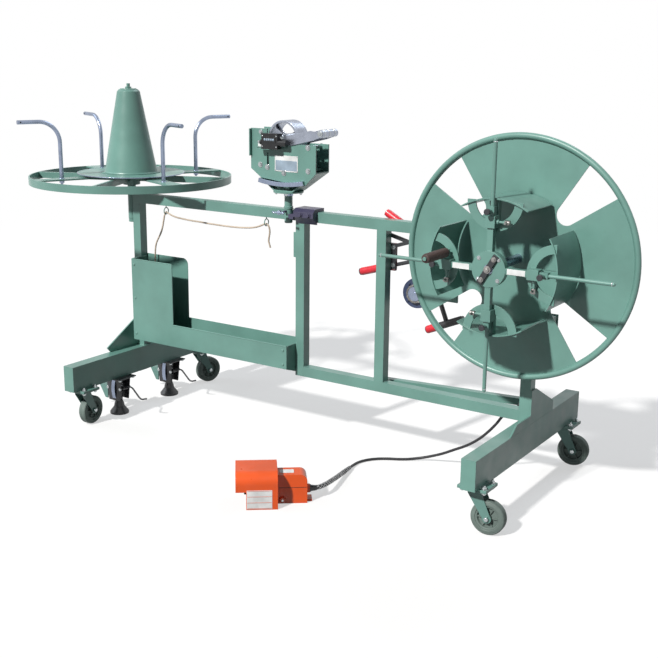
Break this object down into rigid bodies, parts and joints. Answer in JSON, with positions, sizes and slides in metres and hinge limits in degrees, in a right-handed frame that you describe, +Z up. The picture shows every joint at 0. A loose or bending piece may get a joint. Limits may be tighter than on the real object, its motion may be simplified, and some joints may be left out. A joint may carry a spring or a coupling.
{
  "type": "wire coil winding machine",
  "caption": "Floor-standing wire coil winder: coil turntable with cone and guide posts, swivelling length counter head, driven collapsible drum on a flanged reel, foot switch.",
  "frame": {"origin": "floor level, centre of the footprint of the machine with its foot switch", "axes": "+X along the frame from the turntable to the reel, -Y towards the operator and the drum's front, +Z up"},
  "size_m": [2.6042, 1.1282, 1.339],
  "materials": {
    "sage_paint": "smooth satin enamel",
    "caster_paint": "satin enamel, slightly dusty",
    "black_paint": "satin black enamel",
    "clamp_paint": "satin blue-black enamel",
    "red_paint": "gloss red enamel",
    "motor_paint": "satin dark blue enamel",
    "orange_paint": "gloss orange enamel",
    "box_paint": "satin grey-green enamel",
    "bare_steel": "drawn bright steel, lightly oiled",
    "chain_steel": "dark oiled steel",
    "bearing_iron": "painted black cast iron",
    "bare_aluminium": "machined, satin",
    "wheel_rubber": "hard grey-green moulded wheel",
    "grip_rubber": "dark brown ribbed rubber",
    "pedal_rubber": "black ribbed rubber",
    "cable_jacket": "black rubber cable jacket",
    "counter_plastic": "black moulded housing",
    "twine_fibre": "loosely laid natural twine"
  },
  "bodies": {
    "frame": {"top_rail": "sage_paint", "uprights": "sage_paint", "bottom_rails": "sage_paint", "left_leg": "sage_paint", "right_leg": "sage_paint", "twine_box": "sage_paint", "tie_twine": "twine_fibre", "spindle_housing": "sage_paint", "caster_plates": "caster_paint", "shaft_bearings": "bearing_iron", "drive_motor": "motor_paint", "motor_bracket": "sage_paint", "drive_chain": "chain_steel", "control_box": "box_paint", "foot_cable": "cable_jacket", "mesh_grip": "cable_jacket", "foot_shell": "orange_paint", "cutter_body": "black_paint", "rail_clamp": "clamp_paint", "lock_housings": "black_paint"},
    "motor_sprocket": {"drive_sprocket": "bare_steel"},
    "turntable": {"table_ring": "sage_paint", "hub_disc": "sage_paint", "centre_cone": "sage_paint", "guide_posts": "bare_steel"},
    "reel": {"reel_flange": "sage_paint", "reel_shaft": "bare_steel", "drum_arms": "sage_paint"},
    "latch": {"hub_latch": "black_paint"},
    "spinner": {"spinner_grip": "grip_rubber"},
    "lifting_post": {"head_post": "bare_steel"},
    "head": {"head_box": "sage_paint", "counter": "counter_plastic"},
    "meter_wheel": {"measuring_wheel": "bare_aluminium"},
    "press_arm": {"pressure_arm": "bare_aluminium"},
    "upper_cutter": {"cutter_handle": "red_paint"},
    "lever": {"drive_lever": "black_paint"},
    "pedal": {"foot_pedal": "pedal_rubber"},
    "shoe_1": {"drum_shoe_1": "sage_paint"},
    "rod_1": {"retaining_rod_1": "sage_paint"},
    "shoe_2": {"drum_shoe_2": "sage_paint"},
    "rod_2": {"retaining_rod_2": "sage_paint"},
    "shoe_3": {"drum_shoe_3": "sage_paint"},
    "rod_3": {"retaining_rod_3": "sage_paint"},
    "shoe_4": {"drum_shoe_4": "sage_paint"},
    "rod_4": {"retaining_rod_4": "sage_paint"},
    "fork_1": {"caster_fork_1": "caster_paint"},
    "wheel_1": {"caster_wheel_1": "wheel_rubber"},
    "fork_2": {"caster_fork_2": "caster_paint"},
    "wheel_2": {"caster_wheel_2": "wheel_rubber"},
    "fork_3": {"caster_fork_3": "caster_paint"},
    "wheel_3": {"caster_wheel_3": "wheel_rubber"},
    "fork_4": {"caster_fork_4": "caster_paint"},
    "wheel_4": {"caster_wheel_4": "wheel_rubber"},
    "pad_1": {"lock_pad_1": "black_paint"},
    "lock_pedal_1": {"lock_pedal_1": "caster_paint"},
    "release_1": {"lock_release_1": "black_paint"},
    "pad_2": {"lock_pad_2": "black_paint"},
    "lock_pedal_2": {"lock_pedal_2": "caster_paint"},
    "release_2": {"lock_release_2": "black_paint"}
  },
  "joints": [
    {"name": "table_spin", "type": "hinge", "parent": "frame", "child": "turntable", "pos_m": [-0.86986, 0.10729, 0.95], "axis": [0, 0, 1], "continuous": true},
    {"name": "reel_spin", "type": "hinge", "parent": "frame", "child": "reel", "pos_m": [0.90914, 0.08829, 0.845], "axis": [0, 1, 0], "continuous": true},
    {"name": "motor_spin", "type": "hinge", "parent": "frame", "child": "motor_sprocket", "pos_m": [0.43514, 0.08829, 0.633], "axis": [0, 1, 0], "continuous": true},
    {"name": "shoe_slide_1", "type": "slide", "parent": "reel", "child": "shoe_1", "axis": [1, 0, 0], "range_m": [-0.028, 0]},
    {"name": "rod_slide_1", "type": "slide", "parent": "reel", "child": "rod_1", "axis": [1, 0, 0], "range_m": [-0.035, 0]},
    {"name": "shoe_slide_2", "type": "slide", "parent": "reel", "child": "shoe_2", "axis": [0, 0, 1], "range_m": [-0.028, 0]},
    {"name": "rod_slide_2", "type": "slide", "parent": "reel", "child": "rod_2", "axis": [0, 0, 1], "range_m": [-0.035, 0]},
    {"name": "shoe_slide_3", "type": "slide", "parent": "reel", "child": "shoe_3", "axis": [-1, 0, 0], "range_m": [-0.028, 0]},
    {"name": "rod_slide_3", "type": "slide", "parent": "reel", "child": "rod_3", "axis": [-1, 0, 0], "range_m": [-0.035, 0]},
    {"name": "shoe_slide_4", "type": "slide", "parent": "reel", "child": "shoe_4", "axis": [0, 0, -1], "range_m": [-0.028, 0]},
    {"name": "rod_slide_4", "type": "slide", "parent": "reel", "child": "rod_4", "axis": [0, 0, -1], "range_m": [-0.035, 0]},
    {"name": "latch_turn", "type": "hinge", "parent": "reel", "child": "latch", "pos_m": [0.90914, -0.26171, 0.845], "axis": [0, 1, 0], "range_deg": [0, 60]},
    {"name": "spinner_spin", "type": "hinge", "parent": "reel", "child": "spinner", "pos_m": [0.76314, -0.31171, 0.88], "axis": [0, 1, 0], "continuous": true},
    {"name": "head_raise", "type": "slide", "parent": "frame", "child": "lifting_post", "axis": [0, 0, 1], "range_m": [0, 0.04]},
    {"name": "head_swivel", "type": "hinge", "parent": "lifting_post", "child": "head", "pos_m": [-0.05391, 0.07329, 0.99], "axis": [0, 0, 1], "range_deg": [-90, 90]},
    {"name": "meter_spin", "type": "hinge", "parent": "head", "child": "meter_wheel", "pos_m": [-0.05491, 0.07329, 1.165], "axis": [0, 1, 0], "continuous": true},
    {"name": "press_arm_lift", "type": "hinge", "parent": "head", "child": "press_arm", "pos_m": [-0.05491, 0.06329, 1.165], "axis": [0, -1, 0], "range_deg": [0, 25]},
    {"name": "cutter_close", "type": "hinge", "parent": "frame", "child": "upper_cutter", "pos_m": [0.55514, 0.15329, 0.79], "axis": [0, -1, 0], "range_deg": [0, 22]},
    {"name": "lever_throw", "type": "hinge", "parent": "frame", "child": "lever", "pos_m": [0.54014, 0.14829, 0.64], "axis": [0, 1, 0], "range_deg": [-20, 20]},
    {"name": "caster_swivel_1", "type": "hinge", "parent": "frame", "child": "fork_1", "pos_m": [0.90914, -0.25271, 0.13], "axis": [0, 0, 1], "continuous": true},
    {"name": "caster_roll_1", "type": "hinge", "parent": "fork_1", "child": "wheel_1", "pos_m": [0.95098, -0.24905, 0.057], "axis": [-0.0872, 0.9962, 0], "continuous": true},
    {"name": "caster_swivel_2", "type": "hinge", "parent": "frame", "child": "fork_2", "pos_m": [0.90914, 0.46729, 0.13], "axis": [0, 0, 1], "continuous": true},
    {"name": "caster_roll_2", "type": "hinge", "parent": "fork_2", "child": "wheel_2", "pos_m": [0.9505, 0.47459, 0.057], "axis": [-0.1736, 0.9848, 0], "continuous": true},
    {"name": "caster_swivel_3", "type": "hinge", "parent": "frame", "child": "fork_3", "pos_m": [-0.83086, -0.25271, 0.13], "axis": [0, 0, 1], "continuous": true},
    {"name": "caster_roll_3", "type": "hinge", "parent": "fork_3", "child": "wheel_3", "pos_m": [-0.83452, -0.21087, 0.057], "axis": [-0.9962, -0.0872, 0], "continuous": true},
    {"name": "caster_swivel_4", "type": "hinge", "parent": "frame", "child": "fork_4", "pos_m": [-0.83086, 0.46729, 0.13], "axis": [0, 0, 1], "continuous": true},
    {"name": "caster_roll_4", "type": "hinge", "parent": "fork_4", "child": "wheel_4", "pos_m": [-0.81649, 0.50676, 0.057], "axis": [-0.9397, 0.342, 0], "continuous": true},
    {"name": "pad_lift_1", "type": "slide", "parent": "frame", "child": "pad_1", "axis": [0, 0, 1], "range_m": [0, 0.025]},
    {"name": "pedal_turn_1", "type": "hinge", "parent": "frame", "child": "lock_pedal_1", "pos_m": [-0.86486, -0.05271, 0.112], "axis": [0, 1, 0], "range_deg": [0, 30]},
    {"name": "release_turn_1", "type": "hinge", "parent": "frame", "child": "release_1", "pos_m": [-0.79686, -0.05271, 0.112], "axis": [0, 1, 0], "range_deg": [0, 20], "stiffness_Nm_per_rad": 0.8, "springref_deg": -8.59},
    {"name": "pad_lift_2", "type": "slide", "parent": "frame", "child": "pad_2", "axis": [0, 0, 1], "range_m": [0, 0.025]},
    {"name": "pedal_turn_2", "type": "hinge", "parent": "frame", "child": "lock_pedal_2", "pos_m": [-0.86486, 0.25729, 0.112], "axis": [0, 1, 0], "range_deg": [0, 30]},
    {"name": "release_turn_2", "type": "hinge", "parent": "frame", "child": "release_2", "pos_m": [-0.79686, 0.25729, 0.112], "axis": [0, 1, 0], "range_deg": [0, 20], "stiffness_Nm_per_rad": 0.8, "springref_deg": -8.59},
    {"name": "pedal_press", "type": "hinge", "parent": "frame", "child": "pedal", "pos_m": [0.23158, -0.42559, 0.032], "axis": [0.6157, -0.788, 0], "range_deg": [0, 8], "stiffness_Nm_per_rad": 3, "springref_deg": -8.59}
  ],
  "couplings": [
    {"joint": "motor_spin", "follows": "reel_spin", "ratio": 2.0667},
    {"joint": "pedal_turn_1", "follows": "pad_lift_1", "rad_per_m": 20.94},
    {"joint": "pedal_turn_2", "follows": "pad_lift_2", "rad_per_m": 20.94}
  ]
}
